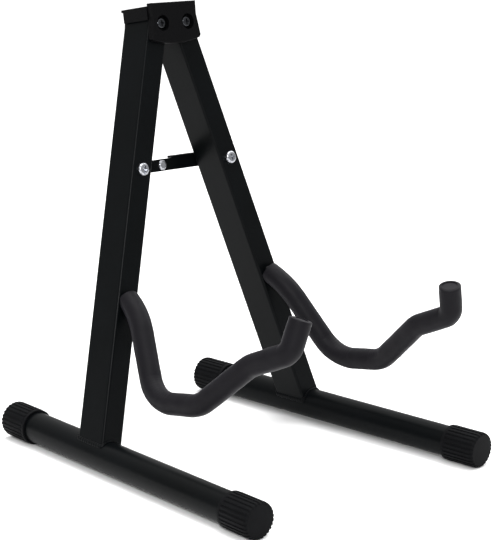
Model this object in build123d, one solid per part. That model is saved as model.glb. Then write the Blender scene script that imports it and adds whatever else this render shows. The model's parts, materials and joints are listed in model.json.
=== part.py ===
"""Folding A-frame guitar stand: two leaning legs on foot tubes, hinged in a moulded head.

Frame: Z up, X across the stand (left leg at -X), -Y towards the cradle arms at the front.
The origin is on the floor, at the centre of the stand's footprint.
All lengths are in millimetres and all angles in degrees.
"""
from build123d import *
import math
import os

# ---- stance -------------------------------------------------------------------------------
leg_length = 350.0            # foot-tube axis to head pivot, along the leg
leg_gap_folded = 7.0          # between the leg tubes when they hang parallel
spread_angle = 17.0           # each leg from the middle plane, open
lean_angle = 11.5             # legs lean back from vertical

# ---- leg and foot tubes -------------------------------------------------------------------
leg_width = 20.5              # across the stand
leg_depth = 31.0              # front to back
leg_wall = 1.2
leg_corner_radius = 2.0
foot_diameter = 25.4
foot_wall = 1.2
foot_front_length = 194.0     # leg axis to the front cap's end
foot_back_length = 116.0      # leg axis to the back cap's end
weld_size = 1.2
fixed_clearance = 0.02        # radial, pieces pressed or welded into each other

# ---- rubber foot caps ---------------------------------------------------------------------
cap_length = 32.0
cap_end_wall = 4.0
cap_crest_diameter = 29.6     # over the ribs
cap_rib_height = 0.7
cap_rib_width = 1.9
cap_rib_pairs = 13
cap_lip_length = 3.0
cap_lip_diameter = 29.2
cap_end_chamfer = 1.2

# ---- cradle arms, in the leg's own middle plane -------------------------------------------
# A reach is forward of the leg's front face; a drop is below the arm's root, along the leg.
arm_root_height = 123.5       # along the leg, from the foot-tube axis
arm_rod_diameter = 8.0
arm_shoulder_reach = 15.5
arm_shoulder_drop = 12.5
arm_dip_start_reach = 45.5
arm_dip_start_drop = 81.0
arm_dip_end_reach = 96.5
arm_dip_end_drop = 82.5
arm_ledge_start_reach = 147.5
arm_ledge_start_drop = 50.5
arm_ledge_end_reach = 187.5
arm_ledge_end_drop = 41.0
arm_tip_reach = 195.1
arm_tip_drop = 16.0
arm_shoulder_bend_radius = 60.0
arm_bend_radius = 32.0
arm_tip_bend_radius = 12.0
foam_diameter = 18.0
foam_clearance = 0.1          # radial, foam bore on rod
foam_leg_gap = 0.3
tip_plug_diameter = 12.0
tip_plug_depth = 5.0

# ---- head ---------------------------------------------------------------------------------
# A plate's half-widths are given as what is added to the roof's; heights are from the pivots.
head_leg_clearance = 0.4      # each face of a leg, front and back
head_web = 2.0                # stop web between the legs' tops
head_web_clearance = 0.2
head_web_length = 12.0        # below the ceiling
head_top_gap = 0.5            # ceiling above the legs' top corners
head_top_wall = 2.1
head_lip_wall = 1.0
head_lip_clearance = 0.2      # each side lip, outside the folded legs
head_lip_drop = 11.0          # from the roof's top
head_lip_back_gap = 2.5       # between a side lip and the back plate
head_roof_corner_radius = 5.0
head_corner_radius = 3.0
head_edge_radius = 0.8
cover_thickness = 5.5
cover_rise = 2.1              # front cover stands above the roof
cover_shoulder = -0.6
cover_waist = -1.2
cover_skirt = 1.8
cover_drop = 13.0             # lower corners below the pivots
cover_bow = 4.0               # lower edge below its corners
back_plate_thickness = 2.5
back_plate_shoulder = -4.9
back_plate_waist = -4.9
back_plate_skirt = -1.9
back_plate_drop = 10.5
back_plate_bow = 2.5
plate_waist_height = 6.0

# ---- fasteners ----------------------------------------------------------------------------
running_clearance = 0.05      # radial, every bore that turns on a shank
seat_clearance = 0.1          # axial, faces that turn on each other
bush_wall = 1.25
pivot_screw_diameter = 5.0
pivot_head_diameter = 9.0
pivot_head_height = 2.4
pivot_recess_depth = 3.9
pivot_recess_clearance = 1.9
pivot_nut_flats = 8.0
pivot_nut_height = 2.7
brace_screw_diameter = 5.0
brace_head_diameter = 10.6
brace_head_height = 3.2
brace_nut_flats = 8.0
brace_nut_height = 2.7
washer_diameter = 10.0
pivot_washer_diameter = 10.0
washer_thickness = 0.6
thread_proud = 0.3            # screw end beyond its nut
cross_width = 1.3
cross_depth = 1.8
cross_length_share = 0.5      # of the screw head's diameter
crown_fillet_share = 0.6      # of the height of a screw head or rivet end
nut_chamfer_ratio = 1.04      # chamfer circle to flats

# ---- folding brace ------------------------------------------------------------------------
brace_below_pivot = 120.5     # along the leg, from the head pivot
link_width = 10.0
link_thickness = 2.0
flange_depth = 4.0            # turned-back upper edge of the right link
flange_from_rivet = 14.4
flange_from_screw = 8.0
rivet_diameter = 5.0
rivet_head_diameter = 8.4
rivet_head_height = 2.2
rivet_tail_height = 1.4
rivet_dome_share = 0.8        # fillet of the rivet's head, share of its height
flange_bend_share = 0.7       # outer bend radius, share of the link's thickness

# ---- derived stance -----------------------------------------------------------------------
LEFT, RIGHT = -1, 1
spread = math.radians(spread_angle)
lean = math.radians(lean_angle)
pivot_spacing = leg_width + leg_gap_folded
half_pivot = pivot_spacing / 2
foot_half_spread = half_pivot + leg_length * math.sin(spread)
foot_toe_out = math.atan(math.sin(lean) * math.tan(spread))
foot_dip = math.atan(math.tan(lean) / math.cos(spread))
foot_radius = foot_diameter / 2
cap_radius = cap_crest_diameter / 2
leg_foot_y = (foot_front_length - foot_back_length) / 2 * math.cos(foot_toe_out)
pivot_height = cap_radius + leg_length * math.cos(spread) * math.cos(lean)
pivot_y = leg_foot_y + leg_length * math.cos(spread) * math.sin(lean)
front_normal = Vector(0, -math.cos(lean), math.sin(lean))
lean_up = Vector(0, math.sin(lean), math.cos(lean))

# The legs' upper inner corners come to rest against the head's web when the stand is open.
leg_above_pivot = (
    half_pivot - leg_width / 2 * math.cos(spread) - head_web / 2 - head_web_clearance
) / math.sin(spread)
bush_diameter = 2 * (bush_wall + running_clearance)
pivot_bush_diameter = pivot_screw_diameter + bush_diameter
brace_bush_diameter = brace_screw_diameter + bush_diameter
brace_height = leg_length - brace_below_pivot
link_length = half_pivot + brace_below_pivot * math.sin(spread)
link_step = link_thickness + seat_clearance
head_inner = leg_depth / 2 + head_leg_clearance
head_front = head_inner + cover_thickness
head_back = head_inner + back_plate_thickness
head_lip_inner = half_pivot + leg_width / 2 + head_lip_clearance
head_roof_half_width = head_lip_inner + head_lip_wall
head_ceiling = (
    leg_above_pivot * math.cos(spread) + leg_width / 2 * math.sin(spread) + head_top_gap
)
head_top = head_ceiling + head_top_wall


def head_frame():
    """Placement of the head: origin midway between the pivots, Y back, Z up the lean."""
    origin = (0, pivot_y, pivot_height)
    return Plane(origin=origin, x_dir=(1, 0, 0), z_dir=tuple(lean_up)).location


def leg_frame(side):
    """Placement of a leg: origin on the foot-tube axis, Y back, Z up along the leg."""
    along = Vector(-side * math.sin(spread), 0, 0) + lean_up * math.cos(spread)
    across = (front_normal * -1).cross(along)
    origin = (side * foot_half_spread, leg_foot_y, cap_radius)
    return Plane(origin=origin, x_dir=tuple(across), z_dir=tuple(along)).location


def foot_frame(side):
    """Placement of a foot tube: origin below the leg, Y back along the tube, Z up."""
    across = (math.cos(foot_toe_out), side * math.sin(foot_toe_out), 0)
    origin = (side * foot_half_spread, leg_foot_y, cap_radius)
    return Plane(origin=origin, x_dir=across, z_dir=(0, 0, 1)).location


def link_frame(side):
    """Placement of a brace link: on its screw's axis at the leg's back, X to the rivet, Y down."""
    screw = leg_frame(side) * Pos(0, leg_depth / 2, brace_height)
    toward_rivet = (-side, 0, 0)
    thickness_dir = front_normal * side
    return Plane(origin=tuple(screw.position), x_dir=toward_rivet, z_dir=tuple(thickness_dir)).location


def rod_along_y(radius, y_from, y_to):
    """Cylinder on the Y axis between two Y values."""
    return Pos(0, (y_from + y_to) / 2, 0) * Rot(90, 0, 0) * Cylinder(radius, y_to - y_from)


def washer(outer_diameter, bore_diameter, y_from, thickness):
    """Ring on the Y axis."""
    ring = rod_along_y(outer_diameter / 2, y_from, y_from + thickness)
    return ring - rod_along_y(bore_diameter / 2, y_from, y_from + thickness)


def hex_nut(flats, bore_diameter, y_from, height):
    """Hexagonal nut on the Y axis, with its corners chamfered on the outer face."""
    blank = extrude(RegularPolygon(flats / 2, 6, major_radius=False), height)
    chamfer_radius = flats / 2 * nut_chamfer_ratio
    cone = Cone(
        height + chamfer_radius, chamfer_radius, height, align=(Align.CENTER, Align.CENTER, Align.MIN)
    )
    nut = Pos(0, y_from, 0) * Rot(-90, 0, 0) * (blank & cone)
    return nut - rod_along_y(bore_diameter / 2, y_from, y_from + height)


def cross_screw(shank_diameter, head_diameter, head_height, y_seat, y_end):
    """Pan-head cross-recess screw on the Y axis: its head faces -Y from y_seat."""
    head = rod_along_y(head_diameter / 2, y_seat - head_height, y_seat)
    crown = head.faces().sort_by(Axis.Y)[0]
    head = fillet(crown.edges(), head_height * crown_fillet_share)
    recess_length = head_diameter * cross_length_share
    recess = Box(recess_length, cross_depth, cross_width) + Box(cross_width, cross_depth, recess_length)
    recess = Pos(0, y_seat - head_height + cross_depth / 2, 0) * recess
    return head + rod_along_y(shank_diameter / 2, y_seat, y_end) - recess


def leg_section(width, depth, radius, z_from, z_to):
    """Upright bar with the leg tube's rounded rectangular section."""
    return Pos(0, 0, z_from) * extrude(RectangleRounded(width, depth, radius), z_to - z_from)


def leg_tube(side):
    """Rectangular steel tube, coped over the foot tube and cross-drilled for its two bushes."""
    top = leg_length + leg_above_pivot
    tube = leg_section(leg_width, leg_depth, leg_corner_radius, 0, top)
    tube -= leg_section(
        leg_width - 2 * leg_wall, leg_depth - 2 * leg_wall, leg_corner_radius - leg_wall, 0, top
    )
    reach = leg_depth
    for height, diameter in ((leg_length, pivot_bush_diameter), (brace_height, brace_bush_diameter)):
        tube -= Pos(0, 0, height) * rod_along_y(diameter / 2 + fixed_clearance, -reach, reach)
    saddle = rod_along_y(foot_radius, -foot_front_length, foot_back_length)
    return leg_frame(side) * tube - foot_frame(side) * saddle


def foot_tube(side):
    """Round steel tube that stands along the floor, open at both ends under its caps."""
    front = cap_end_wall - foot_front_length
    back = foot_back_length - cap_end_wall
    tube = rod_along_y(foot_radius, front, back) - rod_along_y(foot_radius - foot_wall, front, back)
    return foot_frame(side) * tube


def foot_weld(side):
    """Weld bead all round the leg where it meets the foot tube."""
    height = foot_diameter
    bead = leg_section(
        leg_width + 2 * weld_size, leg_depth + 2 * weld_size, leg_corner_radius + weld_size, 0, height
    )
    bead -= leg_section(leg_width, leg_depth, leg_corner_radius, 0, height)
    around = rod_along_y(foot_radius + weld_size, -leg_depth, leg_depth)
    around -= rod_along_y(foot_radius, -leg_depth, leg_depth)
    return (leg_frame(side) * bead) & (foot_frame(side) * around)


def foot_cap():
    """Ribbed rubber cap, its closed end on the XZ plane and its mouth towards +Y."""
    section = Circle(cap_radius - cap_rib_height)
    for pair in range(cap_rib_pairs):
        section += Rot(0, 0, 180 / cap_rib_pairs * pair) * Rectangle(cap_rib_width, cap_crest_diameter)
    ribbed = Rot(-90, 0, 0) * extrude(section, cap_length - cap_lip_length)
    end_cone = Cone(
        cap_radius - cap_end_chamfer,
        cap_radius + cap_length - cap_end_chamfer,
        cap_length,
        align=(Align.CENTER, Align.CENTER, Align.MIN),
    )
    ribbed &= Rot(-90, 0, 0) * end_cone
    lip = rod_along_y(cap_lip_diameter / 2, cap_length - cap_lip_length, cap_length)
    bore = rod_along_y(foot_radius + fixed_clearance, cap_end_wall, cap_length)
    return ribbed + lip - bore


def front_cap(side):
    """Cap on the front end of a foot tube."""
    return foot_frame(side) * Pos(0, -foot_front_length, 0) * foot_cap()


def back_cap(side):
    """Cap on the back end of a foot tube."""
    return foot_frame(side) * Pos(0, foot_back_length, 0) * Rot(0, 0, 180) * foot_cap()


def arm_point(reach, drop):
    """A point of the arm's axis, in the leg's placement."""
    return Vector(0, -leg_depth / 2 - reach, arm_root_height - drop)


def arm_path(run_in):
    """Axis of the bent rod: from a run-in behind the leg's front face to the foam's tip."""
    root = arm_point(0, 0)
    shoulder = arm_point(arm_shoulder_reach, arm_shoulder_drop)
    corners = [
        root + (root - shoulder).normalized() * run_in,
        shoulder,
        arm_point(arm_dip_start_reach, arm_dip_start_drop),
        arm_point(arm_dip_end_reach, arm_dip_end_drop),
        arm_point(arm_ledge_start_reach, arm_ledge_start_drop),
        arm_point(arm_ledge_end_reach, arm_ledge_end_drop),
        arm_point(arm_tip_reach, arm_tip_drop),
    ]
    bends = [arm_shoulder_bend_radius] + 3 * [arm_bend_radius] + [arm_tip_bend_radius]
    return FilletPolyline(*corners, radius=bends)


def along_arm(radius, run_in):
    """Round bar along the whole arm path."""
    path = arm_path(run_in)
    return sweep(Plane(origin=path @ 0, z_dir=path % 0) * Circle(radius), path=path)


def tip_bar(radius, length):
    """Round bar that reaches back from the arm's tip."""
    path = arm_path(0)
    tip = Plane(origin=path @ 1, z_dir=(path % 1) * -1)
    return tip * Cylinder(radius, length, align=(Align.CENTER, Align.CENTER, Align.MIN))


def behind(y_limit):
    """Block that fills the space behind a Y value of the leg's placement."""
    size = 4 * foam_diameter
    return Pos(0, y_limit + size / 2, arm_root_height) * Box(size, size, size)


def arm_rod(side):
    """Bent steel rod, welded to the leg's front face."""
    rod = along_arm(arm_rod_diameter / 2, arm_rod_diameter) - behind(-leg_depth / 2)
    return leg_frame(side) * (rod - tip_bar(foam_diameter, tip_plug_depth))


def arm_foam(side):
    """Foam sleeve over the whole arm, its square end cut away where it would enter the leg."""
    foam = along_arm(foam_diameter / 2, 0)
    foam -= along_arm(arm_rod_diameter / 2 + foam_clearance, arm_rod_diameter)
    foam -= tip_bar(tip_plug_diameter / 2 + foam_clearance, tip_plug_depth)
    return leg_frame(side) * (foam - behind(-leg_depth / 2 - foam_leg_gap))


def arm_tip_plug(side):
    """Plug that closes the foam at the rod's end."""
    return leg_frame(side) * tip_bar(tip_plug_diameter / 2, tip_plug_depth)


def bush(side, height, outer_diameter, bore_diameter):
    """Steel bush through a leg, as long as the leg is deep."""
    ring = washer(outer_diameter, bore_diameter, -leg_depth / 2, leg_depth)
    return leg_frame(side) * Pos(0, 0, height) * ring


def pivot_bush(side):
    """Bush that turns on the head's pivot screw."""
    bore = pivot_screw_diameter + 2 * running_clearance
    return bush(side, leg_length, pivot_bush_diameter, bore)


def brace_bush(side):
    """Bush that carries the brace screw."""
    bore = brace_screw_diameter + 2 * fixed_clearance
    return bush(side, brace_height, brace_bush_diameter, bore)


def brace_stack_start(side):
    """Y of the link's outer face behind a leg: the right link lies one step further back."""
    steps = 1 if side == LEFT else 2
    return leg_depth / 2 + steps * link_step


def brace_washer(side):
    """Washer between a link and its nut."""
    ring = washer(
        washer_diameter,
        brace_screw_diameter + 2 * fixed_clearance,
        brace_stack_start(side) + seat_clearance,
        washer_thickness,
    )
    return leg_frame(side) * Pos(0, 0, brace_height) * ring


def brace_spacer():
    """Spacer that sets the right link one step behind the left link."""
    ring = washer(washer_diameter, brace_screw_diameter + 2 * fixed_clearance, leg_depth / 2, link_step)
    return leg_frame(RIGHT) * Pos(0, 0, brace_height) * ring


def brace_nut(side):
    """Lock nut on the end of a brace screw."""
    start = brace_stack_start(side) + seat_clearance + washer_thickness
    nut = hex_nut(brace_nut_flats, brace_screw_diameter + 2 * fixed_clearance, start, brace_nut_height)
    return leg_frame(side) * Pos(0, 0, brace_height) * nut


def brace_screw(side):
    """Screw through a leg from its front face, which holds a link behind it."""
    end = brace_stack_start(side) + seat_clearance + washer_thickness + brace_nut_height + thread_proud
    screw = cross_screw(
        brace_screw_diameter, brace_head_diameter, brace_head_height, -leg_depth / 2, end
    )
    return leg_frame(side) * Pos(0, 0, brace_height) * screw


def link_bar(hole_diameter):
    """Flat bar with round ends: leg-screw hole at the origin, rivet hole on +X, thick along +Z."""
    bar = extrude(Pos(link_length / 2, 0) * SlotCenterToCenter(link_length, link_width), link_thickness)
    screw_hole = Cylinder(brace_screw_diameter / 2 + running_clearance, 4 * link_thickness)
    rivet_hole = Pos(link_length, 0, 0) * Cylinder(hole_diameter / 2, 4 * link_thickness)
    return bar - screw_hole - rivet_hole


def left_link():
    """Link on the left leg, against the leg's back face."""
    bar = Pos(0, 0, seat_clearance) * link_bar(rivet_diameter + 2 * fixed_clearance)
    return link_frame(LEFT) * bar


def right_link():
    """Link on the right leg, with its upper edge turned back for stiffness."""
    bar = link_bar(rivet_diameter + 2 * fixed_clearance)
    flange_length = link_length - flange_from_rivet - flange_from_screw
    flange = Box(
        flange_length,
        link_thickness,
        link_thickness + flange_depth,
        align=(Align.MIN, Align.MAX, Align.MAX),
    )
    bend_edge = flange.edges().filter_by(Axis.X).group_by(Axis.Z)[-1].sort_by(Axis.Y)[0]
    flange = fillet(bend_edge, link_thickness * flange_bend_share)
    bar += Pos(flange_from_screw, -link_width / 2, link_thickness) * flange
    back_step = link_step + seat_clearance + link_thickness
    return link_frame(RIGHT) * Pos(0, 0, -back_step) * bar


def rivet():
    """Domed rivet head on the left link's front, with the shank as far as the link's back."""
    head = Pos(0, 0, -rivet_head_height + seat_clearance) * Cylinder(
        rivet_head_diameter / 2, rivet_head_height, align=(Align.CENTER, Align.CENTER, Align.MIN)
    )
    head = fillet(head.faces().sort_by(Axis.Z)[0].edges(), rivet_head_height * rivet_dome_share)
    shank = Pos(0, 0, seat_clearance) * Cylinder(
        rivet_diameter / 2, link_thickness, align=(Align.CENTER, Align.CENTER, Align.MIN)
    )
    return link_frame(LEFT) * Pos(link_length, 0, 0) * (head + shank)


def rivet_tail():
    """The rivet's formed end in the right link."""
    front = -link_step - seat_clearance
    shank = Pos(0, 0, front - link_thickness) * Cylinder(
        rivet_diameter / 2, link_thickness, align=(Align.CENTER, Align.CENTER, Align.MIN)
    )
    button = Pos(0, 0, front - link_thickness - rivet_tail_height) * Cylinder(
        rivet_head_diameter / 2, rivet_tail_height, align=(Align.CENTER, Align.CENTER, Align.MIN)
    )
    button = fillet(button.faces().sort_by(Axis.Z)[0].edges(), rivet_tail_height * crown_fillet_share)
    return link_frame(RIGHT) * Pos(link_length, 0, 0) * (shank + button)


def head_plate(thickness, top, shoulder, waist, skirt, drop, bow):
    """Waisted plate with a bowed lower edge: outer face on the XZ plane, inner towards +Y."""
    shoulder_x = head_roof_half_width + shoulder
    waist_x = head_roof_half_width + waist
    skirt_x = head_roof_half_width + skirt
    side = Polyline((shoulder_x, top), (waist_x, plate_waist_height), (skirt_x, -drop))
    lower = ThreePointArc((skirt_x, -drop), (0, -drop - bow), (-skirt_x, -drop))
    upper = Line((-shoulder_x, top), (shoulder_x, top))
    face = make_face([side, lower, mirror(side, Plane.YZ), upper])
    outline = fillet(face.vertices().group_by(Axis.Y)[0], head_corner_radius)
    plate = Rot(90, 0, 0) * extrude(outline, -thickness)
    rim = plate.faces().sort_by(Axis.Y)[0].outer_wire().edges()
    return fillet(rim, head_edge_radius)


def pivot_holes(radius, y_from, y_to):
    """Both pivot holes through the head."""
    hole = rod_along_y(radius, y_from, y_to)
    return Pos(-half_pivot, 0, 0) * hole + Pos(half_pivot, 0, 0) * hole


def head_cover():
    """Moulded front plate with a round recess for each pivot screw's head."""
    plate = head_plate(
        cover_thickness,
        head_top + cover_rise,
        cover_shoulder,
        cover_waist,
        cover_skirt,
        cover_drop,
        cover_bow,
    )
    cover = Pos(0, -head_front, 0) * plate
    cover -= pivot_holes(pivot_screw_diameter / 2 + fixed_clearance, -head_front, -head_inner)
    recess = pivot_head_diameter / 2 + pivot_recess_clearance
    cover -= pivot_holes(recess, -head_front, -head_front + pivot_recess_depth)
    return head_frame() * cover


def head_saddle():
    """Moulded saddle: back plate, roof over the legs, side lips and the web that stops the legs."""
    plate = head_plate(
        back_plate_thickness,
        head_top,
        back_plate_shoulder,
        back_plate_waist,
        back_plate_skirt,
        back_plate_drop,
        back_plate_bow,
    )
    saddle = Pos(0, head_back, 0) * Rot(0, 0, 180) * plate
    saddle -= pivot_holes(pivot_screw_diameter / 2 + fixed_clearance, head_inner, head_back)
    roof = Box(2 * head_roof_half_width, head_inner + head_back, head_top_wall)
    roof = fillet(roof.edges().filter_by(Axis.Z).group_by(Axis.Y)[-1], head_roof_corner_radius)
    saddle += Pos(0, back_plate_thickness / 2, head_ceiling + head_top_wall / 2) * roof
    lip_length = 2 * head_inner - head_lip_back_gap
    lip_x = head_roof_half_width - head_lip_wall / 2
    for side in (LEFT, RIGHT):
        lip = Box(head_lip_wall, lip_length, head_lip_drop)
        saddle += Pos(side * lip_x, -head_lip_back_gap / 2, head_top - head_lip_drop / 2) * lip
    saddle += Pos(0, 0, head_ceiling - head_web_length / 2) * Box(head_web, 2 * head_inner, head_web_length)
    return head_frame() * saddle


def pivot_screw(side):
    """Screw through the head, on which a leg turns."""
    seat = -head_front + pivot_recess_depth
    end = head_back + washer_thickness + pivot_nut_height + thread_proud
    screw = cross_screw(pivot_screw_diameter, pivot_head_diameter, pivot_head_height, seat, end)
    return head_frame() * Pos(side * half_pivot, 0, 0) * screw


def pivot_washer(side):
    """Washer under a pivot nut, behind the saddle."""
    bore = pivot_screw_diameter + 2 * fixed_clearance
    ring = washer(pivot_washer_diameter, bore, head_back, washer_thickness)
    return head_frame() * Pos(side * half_pivot, 0, 0) * ring


def pivot_nut(side):
    """Lock nut on a pivot screw, behind the saddle."""
    bore = pivot_screw_diameter + 2 * fixed_clearance
    nut = hex_nut(pivot_nut_flats, bore, head_back + washer_thickness, pivot_nut_height)
    return head_frame() * Pos(side * half_pivot, 0, 0) * nut


PAIRED_PIECES = {
    "leg_tube": leg_tube,
    "foot_tube": foot_tube,
    "foot_weld": foot_weld,
    "front_cap": front_cap,
    "back_cap": back_cap,
    "arm_rod": arm_rod,
    "arm_foam": arm_foam,
    "arm_tip_plug": arm_tip_plug,
    "pivot_bush": pivot_bush,
    "pivot_screw": pivot_screw,
    "pivot_washer": pivot_washer,
    "pivot_nut": pivot_nut,
    "brace_bush": brace_bush,
    "brace_screw": brace_screw,
    "brace_washer": brace_washer,
    "brace_nut": brace_nut,
}
SINGLE_PIECES = {
    "head_cover": head_cover,
    "head_saddle": head_saddle,
    "brace_spacer": brace_spacer,
    "left_brace_link": left_link,
    "right_brace_link": right_link,
    "brace_rivet": rivet,
    "brace_rivet_tail": rivet_tail,
}

os.makedirs("parts", exist_ok=True)
for name, make in PAIRED_PIECES.items():
    export_step(make(LEFT), f"parts/left_{name}.step")
    export_step(make(RIGHT), f"parts/right_{name}.step")
for name, make in SINGLE_PIECES.items():
    export_step(make(), f"parts/{name}.step")
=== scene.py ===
import json
import math

import bpy
from mathutils import Matrix, Vector


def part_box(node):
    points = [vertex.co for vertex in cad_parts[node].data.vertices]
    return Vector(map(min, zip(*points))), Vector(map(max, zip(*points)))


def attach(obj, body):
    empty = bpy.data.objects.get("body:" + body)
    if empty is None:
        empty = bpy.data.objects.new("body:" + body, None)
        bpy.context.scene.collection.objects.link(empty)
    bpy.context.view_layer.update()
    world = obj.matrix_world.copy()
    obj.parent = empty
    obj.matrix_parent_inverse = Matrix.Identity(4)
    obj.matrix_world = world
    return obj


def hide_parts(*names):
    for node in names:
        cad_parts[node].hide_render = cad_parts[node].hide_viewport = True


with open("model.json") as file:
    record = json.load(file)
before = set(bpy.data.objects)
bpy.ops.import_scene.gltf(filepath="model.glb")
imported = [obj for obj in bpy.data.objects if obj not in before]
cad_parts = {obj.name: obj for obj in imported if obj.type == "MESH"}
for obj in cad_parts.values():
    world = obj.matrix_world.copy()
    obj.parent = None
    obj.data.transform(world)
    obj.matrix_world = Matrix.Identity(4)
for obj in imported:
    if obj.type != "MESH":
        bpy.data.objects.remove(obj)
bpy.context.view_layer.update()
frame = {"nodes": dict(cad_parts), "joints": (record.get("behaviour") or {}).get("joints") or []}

MM = 0.001
SIDES = ("left", "right")

# ---- Leg and foot tubes -------------------------------------------------------------------
# Welded steel tube: a rectangular leg coped onto a round foot. After welding the whole frame
# was sprayed with black polyester powder and baked, which leaves a satin skin with a faint
# orange peel, and a little thinner and shinier on the corners.


def srgb(hex_colour):
    """A hex colour as linear red, green, blue and alpha."""
    levels = [int(hex_colour[i : i + 2], 16) / 255 for i in (1, 3, 5)]
    return [v / 12.92 if v <= 0.04045 else ((v + 0.055) / 1.055) ** 2.4 for v in levels] + [1.0]


def add_node(material, kind, links=None, **settings):
    """Adds one node, sets its properties and input values, and links outputs into its inputs."""
    node = material.node_tree.nodes.new(kind)
    for name, value in settings.items():
        if hasattr(node, name):
            setattr(node, name, value)
        else:
            node.inputs[name.replace("_", " ")].default_value = value
    for name, output in (links or {}).items():
        material.node_tree.links.new(output, node.inputs[name])
    return node


def new_material(name, colour, roughness, **settings):
    """A Principled material, with its shader node and its object coordinates."""
    material = bpy.data.materials.new(name)
    material.use_nodes = True
    material.diffuse_color = srgb(colour)
    shader = material.node_tree.nodes["Principled BSDF"]
    shader.inputs["Base Color"].default_value = srgb(colour)
    shader.inputs["Roughness"].default_value = roughness
    for socket, value in settings.items():
        shader.inputs[socket.replace("_", " ")].default_value = value
    place = add_node(material, "ShaderNodeTexCoord").outputs["Object"]
    return material, shader, place


def wire(material, output, shader, socket):
    material.node_tree.links.new(output, shader.inputs[socket])


def noise(material, place, size, detail=2.0):
    """A noise pattern with features of one size."""
    return add_node(
        material, "ShaderNodeTexNoise", {"Vector": place}, Scale=1 / size, Detail=detail
    ).outputs["Fac"]


def wire_bump(material, shader, height, strength, depth):
    """Roughens a surface by a height pattern."""
    bump = add_node(
        material, "ShaderNodeBump", {"Height": height}, Strength=strength, Distance=depth
    )
    wire(material, bump.outputs["Normal"], shader, "Normal")


def wire_gloss(material, shader, pattern, low, high):
    """Varies the roughness between two values."""
    gloss = add_node(
        material, "ShaderNodeMapRange", {"Value": pattern}, To_Min=low, To_Max=high
    )
    wire(material, gloss.outputs["Result"], shader, "Roughness")


def wire_tone(material, shader, pattern, darker, paler):
    """Varies the colour between two hex colours."""
    tone = add_node(material, "ShaderNodeValToRGB", {"Fac": pattern})
    tone.color_ramp.elements[0].color = srgb(darker)
    tone.color_ramp.elements[1].color = srgb(paler)
    wire(material, tone.outputs["Color"], shader, "Base Color")


def finish_node(name, material):
    """Gives a CAD node its finished material."""
    node = frame["nodes"][name]
    node.data.materials.clear()
    node.data.materials.append(material)
    return node


def black_powder_coat():
    """Satin black polyester powder on steel: soft gloss, orange peel, thin bright corners."""
    material, shader, place = new_material(
        "satin_black_powder_coat", "#050607", 0.32, Specular_IOR_Level=0.055
    )
    # The peel of a 70 micron coat is about 1.5 mm across; it is drawn at 2 mm so that it shows.
    wire_bump(material, shader, noise(material, place, 2 * MM), 0.12, 0.12 * MM)
    # Uneven film from the spray pass: patches about 45 mm across.
    film = noise(material, place, 45 * MM, 3.0)
    wire_gloss(material, shader, film, 0.27, 0.38)
    wire_tone(material, shader, film, "#040505", "#06080A")
    return material


powder_coat = black_powder_coat()
for side in SIDES:
    for piece in ("leg_tube", "foot_tube"):
        finish_node(f"{side}_{piece}", powder_coat)

# The place of each leg comes from the joints: the fold axis, the head pivot and the brace screw.
joints = {j["name"]: j for j in frame["joints"]}


def leg_place(side):
    """A leg's own axes: origin on its foot tube's axis, X across, Y back, Z up along the leg."""
    back = -Vector(joints[f"{side}_leg_fold"]["axis"]).normalized()
    pivot = Vector(joints[f"{side}_leg_fold"]["pos_m"])
    below = pivot - Vector(joints[f"{side}_link_fold"]["pos_m"])
    along = (below - back * below.dot(back)).normalized()
    low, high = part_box(f"{side}_foot_tube")
    origin = pivot - along * ((pivot.z - (low[2] + high[2]) / 2) / along.z)
    across = back.cross(along)
    return Matrix.Translation(origin) @ Matrix((across, back, along)).transposed().to_4x4()


def foot_place(side):
    """A foot tube's own axes: the same origin, X across, Y back along the tube, Z up."""
    place = leg_place(side)
    upright = Vector((0, 0, 1))
    back = upright.cross(place.col[0].to_3d()).normalized()
    across = back.cross(upright)
    turned = Matrix((across, back, upright)).transposed().to_4x4()
    return Matrix.Translation(place.translation) @ turned


def reach_of(node, place, axis):
    """Lowest and highest point of a CAD node along one axis of a placement."""
    into = place.inverted()
    found = [(into @ v.co)[axis] for v in frame["nodes"][node].data.vertices]
    return min(found), max(found)


# ---- Weld beads ---------------------------------------------------------------------------
# One pass of MIG weld runs all round each leg where it sits on its foot tube. The puddle froze
# in overlapping crescents, which still show through the powder coat.
RIPPLE_PITCH = 1.9 * MM
RIPPLE_HEIGHT = 0.22 * MM
RIPPLE_SHARPNESS = 0.6
BEAD_VOXEL = 0.35 * MM
BEAD_RADIUS = 15 * MM         # half the leg's depth, over which the ripples are spaced
LEG_WIDTH_SHARE = 0.6         # of its depth
MERGE_GAP = 0.01 * MM


def deselect_all():
    bpy.ops.object.select_all(action="DESELECT")


def pick(piece):
    """Makes a piece the only one selected, and the active one."""
    deselect_all()
    piece.select_set(True)
    bpy.context.view_layer.objects.active = piece
    return piece


def apply_modifier(piece, kind, **settings):
    """Adds a modifier to a piece and applies it."""
    modifier = pick(piece).modifiers.new(kind.lower(), kind)
    for name, value in settings.items():
        setattr(modifier, name, value)
    bpy.ops.object.modifier_apply(modifier=modifier.name)


def round_edges(piece, width, sharper_than):
    """Bevels the edges that turn by more than so many degrees."""
    apply_modifier(
        piece,
        "BEVEL",
        width=width,
        segments=2,
        limit_method="ANGLE",
        angle_limit=math.radians(sharper_than),
    )


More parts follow.
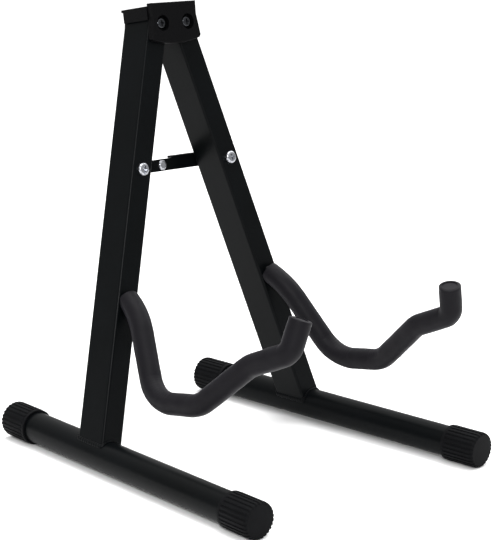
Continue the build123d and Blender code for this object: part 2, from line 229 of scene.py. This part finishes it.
def weld_bead(side):
    """The CAD bead, merged and remeshed, then rippled round the leg."""
    pick(frame["nodes"][f"{side}_foot_weld"])
    bpy.ops.object.duplicate()
    bead = bpy.context.active_object
    bead.name = f"{side}_weld_bead"
    bpy.ops.object.mode_set(mode="EDIT")
    bpy.ops.mesh.select_all(action="SELECT")
    bpy.ops.mesh.remove_doubles(threshold=MERGE_GAP)
    bpy.ops.object.mode_set(mode="OBJECT")
    apply_modifier(bead, "REMESH", mode="VOXEL", voxel_size=BEAD_VOXEL)
    apply_modifier(bead, "SMOOTH", factor=0.5, iterations=6)
    place = leg_place(side)
    into = place.inverted()
    for vertex in bead.data.vertices:
        local = into @ vertex.co
        run = math.atan2(local.y * LEG_WIDTH_SHARE, local.x) * BEAD_RADIUS
        crescent = abs(math.sin(math.pi * run / RIPPLE_PITCH)) ** RIPPLE_SHARPNESS
        vertex.co += vertex.normal * RIPPLE_HEIGHT * (crescent - 0.5)
    bpy.ops.object.shade_smooth()
    return bead


for side in SIDES:
    bead = weld_bead(side)
    bead.data.materials.clear()
    bead.data.materials.append(powder_coat)
    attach(bead, f"{side}_leg")
    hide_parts(f"{side}_foot_weld")

# ---- Rubber foot caps ---------------------------------------------------------------------
# Each foot tube end is pushed into a moulded rubber cap with ribs that grip the floor, a plain
# lip at its mouth and a rounded closed end. The rubber is matt, with a little bloom in the grooves.
CAP_LENGTH = 32 * MM
CAP_LIP_LENGTH = 3 * MM
CAP_LIP_RADIUS = 14.6 * MM
CAP_GROOVE_RADIUS = 14.1 * MM
CAP_RIB_HEIGHT = 0.7 * MM
CAP_RIBS = 26
CAP_END_WALL = 4 * MM
CAP_BORE_RADIUS = 12.72 * MM
CAP_LIP_STEP = 0.3 * MM
CAP_EDGE_RADIUS = 0.25 * MM
CAP_END_RINGS = (0.6 * MM, 1.5 * MM, 3 * MM)
CAP_END_DRAW = ((0, 0.90), (0.6 * MM, 0.945), (1.5 * MM, 0.98))  # height, share of the radius
COLUMNS_PER_RIB = 4


def select_faces(piece, wanted):
    """Selects, from edit mode, the faces for which wanted(centre, normal) holds."""
    bpy.ops.mesh.select_mode(type="FACE")
    bpy.ops.mesh.select_all(action="DESELECT")
    bpy.ops.object.mode_set(mode="OBJECT")
    for polygon in piece.data.polygons:
        polygon.select = bool(wanted(polygon.center, polygon.normal))
    bpy.ops.object.mode_set(mode="EDIT")


def select_vertices(piece, wanted):
    """Selects, from edit mode, the vertices for which wanted(place) holds."""
    bpy.ops.mesh.select_mode(type="VERT")
    bpy.ops.mesh.select_all(action="DESELECT")
    bpy.ops.object.mode_set(mode="OBJECT")
    for vertex in piece.data.vertices:
        vertex.select = bool(wanted(vertex.co))
    bpy.ops.object.mode_set(mode="EDIT")


def on_rib(centre):
    """True for the two middle columns of a rib's share of the circle."""
    column = math.floor(math.atan2(centre.y, centre.x) / math.tau * CAP_RIBS * COLUMNS_PER_RIB)
    return column % COLUMNS_PER_RIB in (1, 2)


def rubber_cap():
    """One cap, closed end at the origin and mouth towards +Z."""
    ribbed = CAP_LENGTH - CAP_LIP_LENGTH
    deselect_all()
    bpy.ops.mesh.primitive_cylinder_add(
        vertices=CAP_RIBS * COLUMNS_PER_RIB,
        radius=CAP_GROOVE_RADIUS,
        depth=ribbed,
        location=(0, 0, ribbed / 2),
    )
    bpy.ops.object.transform_apply()
    cap = bpy.context.active_object
    bpy.ops.object.mode_set(mode="EDIT")
    # mouth: lip, then bore
    select_faces(cap, lambda centre, normal: normal.z > 0.9)
    bpy.ops.mesh.extrude_region_move(TRANSFORM_OT_translate={"value": (0, 0, CAP_LIP_STEP)})
    grow = CAP_LIP_RADIUS / CAP_GROOVE_RADIUS
    bpy.ops.transform.resize(value=(grow, grow, 1), center_override=(0, 0, 0))
    bpy.ops.mesh.extrude_region_move(
        TRANSFORM_OT_translate={"value": (0, 0, CAP_LIP_LENGTH - CAP_LIP_STEP)}
    )
    bpy.ops.mesh.inset(thickness=CAP_LIP_RADIUS - CAP_BORE_RADIUS)
    bpy.ops.mesh.extrude_region_move(
        TRANSFORM_OT_translate={"value": (0, 0, CAP_END_WALL - CAP_LENGTH)}
    )
    # ribs
    select_faces(
        cap,
        lambda centre, normal: abs(normal.z) < 0.1 and centre.z < ribbed * 0.9
        and centre.to_2d().length > CAP_GROOVE_RADIUS * 0.98 and on_rib(centre),
    )
    bpy.ops.mesh.extrude_region_move()
    rise = 1 + CAP_RIB_HEIGHT / CAP_GROOVE_RADIUS
    bpy.ops.transform.resize(value=(rise, rise, 1), center_override=(0, 0, 0))
    # rounded end: rings are cut near it and drawn in
    for height in CAP_END_RINGS:
        bpy.ops.mesh.select_all(action="SELECT")
        bpy.ops.mesh.bisect(plane_co=(0, 0, height), plane_no=(0, 0, 1))
    for height, draw in CAP_END_DRAW:
        select_vertices(
            cap,
            lambda co: abs(co.z - height) < 0.05 * MM and co.to_2d().length > CAP_BORE_RADIUS,
        )
        bpy.ops.transform.resize(value=(draw, draw, 1), center_override=(0, 0, 0))
    bpy.ops.mesh.select_all(action="SELECT")
    bpy.ops.mesh.normals_make_consistent(inside=False)
    bpy.ops.object.mode_set(mode="OBJECT")
    round_edges(cap, CAP_EDGE_RADIUS, 28)
    bpy.ops.object.shade_smooth_by_angle(angle=math.radians(40))
    return cap


def moulded_rubber():
    """Black moulded rubber: matt, fine pebble from the mould, paler bloom where it is handled."""
    material, shader, place = new_material(
        "moulded_black_rubber", "#050506", 0.6, Specular_IOR_Level=0.055
    )
    wire_bump(material, shader, noise(material, place, 0.7 * MM, 3.0), 0.35, 0.12 * MM)
    bloom = noise(material, place, 9 * MM, 4.0)
    wire_tone(material, shader, bloom, "#050506", "#0B0C0E")
    return material


rubber = moulded_rubber()
cap_model = rubber_cap()
cap_model.data.materials.append(rubber)
for side in SIDES:
    foot = foot_place(side)
    for end, turn in (("front", -90), ("back", 90)):
        node = f"{side}_{end}_cap"
        near, far = reach_of(node, foot, 1)
        closed_end = near if end == "front" else far
        pick(cap_model)
        bpy.ops.object.duplicate()
        cap = bpy.context.active_object
        cap.name = f"{side}_{end}_rubber_cap"
        turned = Matrix.Rotation(math.radians(turn), 4, "X")
        cap.matrix_world = foot @ Matrix.Translation((0, closed_end, 0)) @ turned
        bpy.ops.object.transform_apply()
        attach(cap, f"{side}_leg")
        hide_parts(node)
bpy.data.objects.remove(cap_model)

# ---- Cradle arms --------------------------------------------------------------------------
# A bent steel rod is welded to the front of each leg and covered to its tip by a closed-cell foam
# sleeve, pushed on with water. The foam creases inside each bend, and a plug closes its end.
# Reach is forward of the leg's face, drop is below the root, both along the leg's own axes.
ARM_ROOT_HEIGHT = 123.5 * MM
ARM_CORNERS = (
    (0, 0), (15.5, 12.5), (45.5, 81), (96.5, 82.5), (147.5, 50.5), (187.5, 41), (195.1, 16)
)
ARM_BENDS = (60, 32, 32, 32, 12)
FOAM_RADIUS = 9 * MM
FOAM_SIDES = 36
FOAM_GAP = 0.4 * MM
PLUG_RADIUS = 6 * MM
PLUG_DEPTH = 5 * MM
PLUG_GAP = 0.1 * MM
TIP_RIM = 0.9 * MM
TIP_RIM_RISE = 0.55 * MM
SOCKET_RISE = 0.25 * MM
RUN_STEP = 3.5 * MM
BEND_STEP = 1.5 * MM
CREASE = 0.28 * MM
CREASED_BEND = math.radians(20)  # gentler bends stay smooth
CREASED_SHARE = 0.45             # of the foam's radius, inside a bend
FOAM_EDGE_RADIUS = 0.5 * MM
UNEVEN_SIZE = 14 * MM
UNEVEN_HEIGHT = 0.5 * MM


def foam_sleeve(side):
    """A ring of vertices drawn along the arm: extruded on the runs and spun round the bends."""
    face = reach_of(f"{side}_leg_tube", leg_place(side), 1)[0]
    corners = [
        Vector((0, face - reach * MM, ARM_ROOT_HEIGHT - drop * MM)) for reach, drop in ARM_CORNERS
    ]
    heading = (corners[1] - corners[0]).normalized()
    deselect_all()
    bpy.ops.mesh.primitive_circle_add(
        vertices=FOAM_SIDES,
        radius=FOAM_RADIUS,
        fill_type="NGON",
        location=corners[0],
        rotation=heading.to_track_quat("Z", "X").to_euler(),
    )
    bpy.ops.object.transform_apply()
    sleeve = bpy.context.active_object
    sleeve.name = f"{side}_foam_sleeve"
    bpy.ops.object.mode_set(mode="EDIT")
    bpy.ops.mesh.select_all(action="SELECT")
    at = corners[0]
    bends = []
    for here, after, radius in zip(corners[1:], corners[2:] + [None], ARM_BENDS + (0,)):
        turn = 0 if after is None else heading.angle((after - here).normalized())
        trim = radius * MM * math.tan(turn / 2)
        run = (here - at).length - trim
        steps = max(1, round(run / RUN_STEP))
        step = heading * (run / steps)
        for _ in range(steps):
            bpy.ops.mesh.extrude_region_move(TRANSFORM_OT_translate={"value": step})
        if after is None:
            break
        leaving = (after - here).normalized()
        axis = heading.cross(leaving).normalized()
        inward = axis.cross(heading)
        start = here - heading * trim
        centre = start + inward * radius * MM
        count = 2 * max(3, round(turn * radius * MM / BEND_STEP / 2))
        bpy.ops.mesh.spin(steps=count, angle=-turn, center=centre, axis=axis)
        bends.append((centre, start - centre, axis, turn, count))
        at = here + leaving * trim
        heading = leaving
    # tip: rounded rim and a socket for the plug
    bpy.ops.mesh.inset(thickness=TIP_RIM, depth=TIP_RIM_RISE)
    bpy.ops.mesh.inset(thickness=FOAM_RADIUS - TIP_RIM - PLUG_RADIUS - PLUG_GAP, depth=SOCKET_RISE)
    bpy.ops.mesh.extrude_region_move(TRANSFORM_OT_translate={"value": heading * -PLUG_DEPTH})
    # creases on the inside of each bend
    for centre, spoke, axis, turn, count in bends:
        if turn < CREASED_BEND:
            continue

        def creased(co):
            out = co - centre
            out -= axis * out.dot(axis)
            angle = math.atan2(spoke.cross(out).dot(axis), spoke.dot(out))
            step = round(angle / turn * count)
            inside = out.length < spoke.length - FOAM_RADIUS * CREASED_SHARE
            return inside and 0 < angle < turn and step % 2

        select_vertices(sleeve, creased)
        bpy.ops.transform.shrink_fatten(value=-CREASE)
    bpy.ops.mesh.select_all(action="SELECT")
    bpy.ops.mesh.bisect(
        plane_co=(0, face - FOAM_GAP, 0), plane_no=(0, 1, 0), use_fill=True, clear_outer=True
    )
    bpy.ops.mesh.select_all(action="SELECT")
    bpy.ops.mesh.normals_make_consistent(inside=False)
    bpy.ops.object.mode_set(mode="OBJECT")
    round_edges(sleeve, FOAM_EDGE_RADIUS, 50)
    apply_modifier(sleeve, "SUBSURF", levels=1, render_levels=1)
    uneven = bpy.data.textures.new(f"{side}_foam_unevenness", "CLOUDS")
    uneven.noise_scale = UNEVEN_SIZE
    apply_modifier(
        sleeve,
        "DISPLACE",
        texture=uneven,
        texture_coords="LOCAL",
        strength=UNEVEN_HEIGHT,
        mid_level=0.5,
    )
    sleeve.matrix_world = leg_place(side)
    bpy.ops.object.transform_apply()
    bpy.ops.object.shade_smooth_by_angle(angle=math.radians(50))
    return sleeve


def closed_cell_foam(name, colour, paler):
    """Black nitrile foam: soft charcoal skin with a faint violet sheen and fine open pores."""
    material, shader, place = new_material(
        name, colour, 0.52, Specular_IOR_Level=0.09, Sheen_Weight=0.025, Sheen_Roughness=0.45
    )
    shader.inputs["Sheen Tint"].default_value = srgb("#C9C4D8")
    # Pores are about 0.3 mm; they are drawn at 0.6 mm so that they show.
    pores = add_node(material, "ShaderNodeTexVoronoi", {"Vector": place}, Scale=1 / (0.6 * MM))
    grain = noise(material, place, 2.5 * MM, 5.0)
    height = add_node(
        material,
        "ShaderNodeMath",
        {0: pores.outputs["Distance"], 1: grain},
        operation="ADD",
    )
    wire_bump(material, shader, height.outputs[0], 0.3, 0.1 * MM)
    wire_tone(material, shader, noise(material, place, 22 * MM, 4.0), colour, paler)
    return material


foam = closed_cell_foam("closed_cell_nitrile_foam", "#09080B", "#0F0E12")
plug_foam = closed_cell_foam("cut_foam_plug", "#111013", "#18171B")
for side in SIDES:
    sleeve = foam_sleeve(side)
    sleeve.data.materials.append(foam)
    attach(sleeve, f"{side}_leg")
    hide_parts(f"{side}_arm_foam")
    finish_node(f"{side}_arm_rod", powder_coat)
    finish_node(f"{side}_arm_tip_plug", plug_foam)

# ---- Head ---------------------------------------------------------------------------------
# Two injection mouldings in black ABS clamp the tops of the legs: a thick front cover with two
# screw recesses, and a saddle with a roof, side lips and back plate. Both have a fine spark grain.


def moulded_abs():
    """Black ABS from a spark-textured mould: even semi-matt grain with faint flow marks."""
    material, shader, place = new_material(
        "moulded_black_abs", "#050506", 0.42, Specular_IOR_Level=0.045
    )
    wire_bump(material, shader, noise(material, place, 0.5 * MM), 0.25, 0.08 * MM)
    wire_gloss(material, shader, noise(material, place, 18 * MM), 0.42, 0.58)
    return material


abs_plastic = moulded_abs()
for piece in ("head_cover", "head_saddle"):
    finish_node(piece, abs_plastic)

# ---- Screws, nuts and bushes --------------------------------------------------------------
# Steel fasteners, cold headed and rolled, plated in bright zinc; the pivot screws get a darker copy
# of the zinc as painted shade for their deep recesses. Each leg turns on a steel bush turned from
# bar, on the plain part of its pivot screw.


def zinc_plate(name, colour):
    """Zinc plate on steel: nearly a mirror, with a slight haze."""
    material, shader, place = new_material(name, colour, 0.2, Metallic=1.0)
    wire_gloss(material, shader, noise(material, place, 3 * MM, 4.0), 0.14, 0.3)
    return material


def turned_steel():
    """Steel turned on a lathe: a fine grain that spreads the highlight."""
    material, shader, place = new_material("turned_steel", "#8E8F92", 0.34, Metallic=1.0)
    wire_bump(material, shader, noise(material, place, 0.4 * MM), 0.15, 0.05 * MM)
    return material


zinc = zinc_plate("bright_zinc_plate", "#A9ABB0")
# A darker copy of the bright zinc: painted shade for the pivot screws that sit deep in the cover's
# recesses.
painted_shade_zinc = zinc_plate("zinc_with_painted_shade", "#3C3D40")
steel = turned_steel()
for side in SIDES:
    for piece in ("pivot_washer", "pivot_nut", "brace_screw", "brace_washer", "brace_nut"):
        finish_node(f"{side}_{piece}", zinc)
    # The pivot screws take the darker zinc copy, which is painted shade.
    finish_node(f"{side}_pivot_screw", painted_shade_zinc)
    for piece in ("pivot_bush", "brace_bush"):
        finish_node(f"{side}_{piece}", steel)
finish_node("brace_spacer", zinc)

# ---- Folding brace ------------------------------------------------------------------------
# Two pressed steel links, powder coated like the legs, joined by a plated rivet. The right link's
# upper edge is turned back to stiffen it.
for piece in ("left_brace_link", "right_brace_link"):
    finish_node(piece, powder_coat)
for piece in ("brace_rivet", "brace_rivet_tail"):
    finish_node(piece, zinc)

# ---- Studio -------------------------------------------------------------------------------
# A pale seamless floor under a white tent that is brighter overhead, and three soft boxes.
CAMERA_AZIMUTH = -45.0
CAMERA_ELEVATION = 13.12
CAMERA_ROLL = 1.71
CAMERA_DISTANCE = 1.6758
CAMERA_SHIFT = (0.0073, 0.0012)
CAMERA_REACH = 20
FLOOR_SIZE = 12
CAMERA_TARGET = Vector((0.04093, 0.03893, 0.14166))
SENSOR = 36.0
FOCAL_LENGTH = 133.6

deselect_all()
bpy.ops.mesh.primitive_plane_add(size=FLOOR_SIZE)
floor = bpy.context.active_object
floor.name = "studio_floor"
card = bpy.data.materials.new("pale_studio_card")
card.use_nodes = True
card_shader = card.node_tree.nodes["Principled BSDF"]
card_shader.inputs["Base Color"].default_value = srgb("#F4F4F4")
card_shader.inputs["Roughness"].default_value = 0.9
floor.data.materials.append(card)

surround = bpy.data.worlds.new("white_tent")
surround.use_nodes = True
surround.node_tree.nodes["Background"].inputs["Strength"].default_value = 1.0
height = add_node(
    surround,
    "ShaderNodeSeparateXYZ",
    {"Vector": add_node(surround, "ShaderNodeTexCoord").outputs["Generated"]},
)
tent = add_node(
    surround, "ShaderNodeMapRange", {"Value": height.outputs["Z"]}, To_Min=0.35, To_Max=1.7
)
wire(surround, tent.outputs["Result"], surround.node_tree.nodes["Background"], "Color")
bpy.context.scene.world = surround


def soft_box(name, place, size, power):
    """A large square area light that faces the stand."""
    light = bpy.data.lights.new(name, "AREA")
    light.shape = "SQUARE"
    light.size = size
    light.energy = power
    lamp = bpy.data.objects.new(name, light)
    bpy.context.scene.collection.objects.link(lamp)
    lamp.location = place
    lamp.rotation_euler = (CAMERA_TARGET - Vector(place)).to_track_quat("-Z", "Y").to_euler()


soft_box("key_soft_box", (-1.5, -1.25, 1.1), 0.35, 26)
soft_box("fill_soft_box", (2.2, 0.4, 1.8), 1.6, 24)
soft_box("top_soft_box", (0, 0.2, 2.6), 1.8, 50)

azimuth = math.radians(CAMERA_AZIMUTH)
elevation = math.radians(CAMERA_ELEVATION)
toward_camera = Vector(
    (
        math.sin(azimuth) * math.cos(elevation),
        -math.cos(azimuth) * math.cos(elevation),
        math.sin(elevation),
    )
)
camera_data = bpy.data.cameras.new("camera")
camera_data.sensor_width = SENSOR
camera_data.lens = FOCAL_LENGTH
camera_data.shift_x, camera_data.shift_y = CAMERA_SHIFT
camera_data.clip_end = CAMERA_REACH
camera = bpy.data.objects.new("camera", camera_data)
bpy.context.scene.collection.objects.link(camera)
camera.location = CAMERA_TARGET + toward_camera * CAMERA_DISTANCE
facing = toward_camera.to_track_quat("Z", "Y").to_matrix().to_4x4()
roll = Matrix.Rotation(math.radians(CAMERA_ROLL), 4, "Z")
camera.rotation_euler = (facing @ roll).to_euler()
bpy.context.scene.camera = camera

# Plain display colour, so that the floor comes out as white as studio card.
bpy.context.scene.view_settings.view_transform = "Standard"
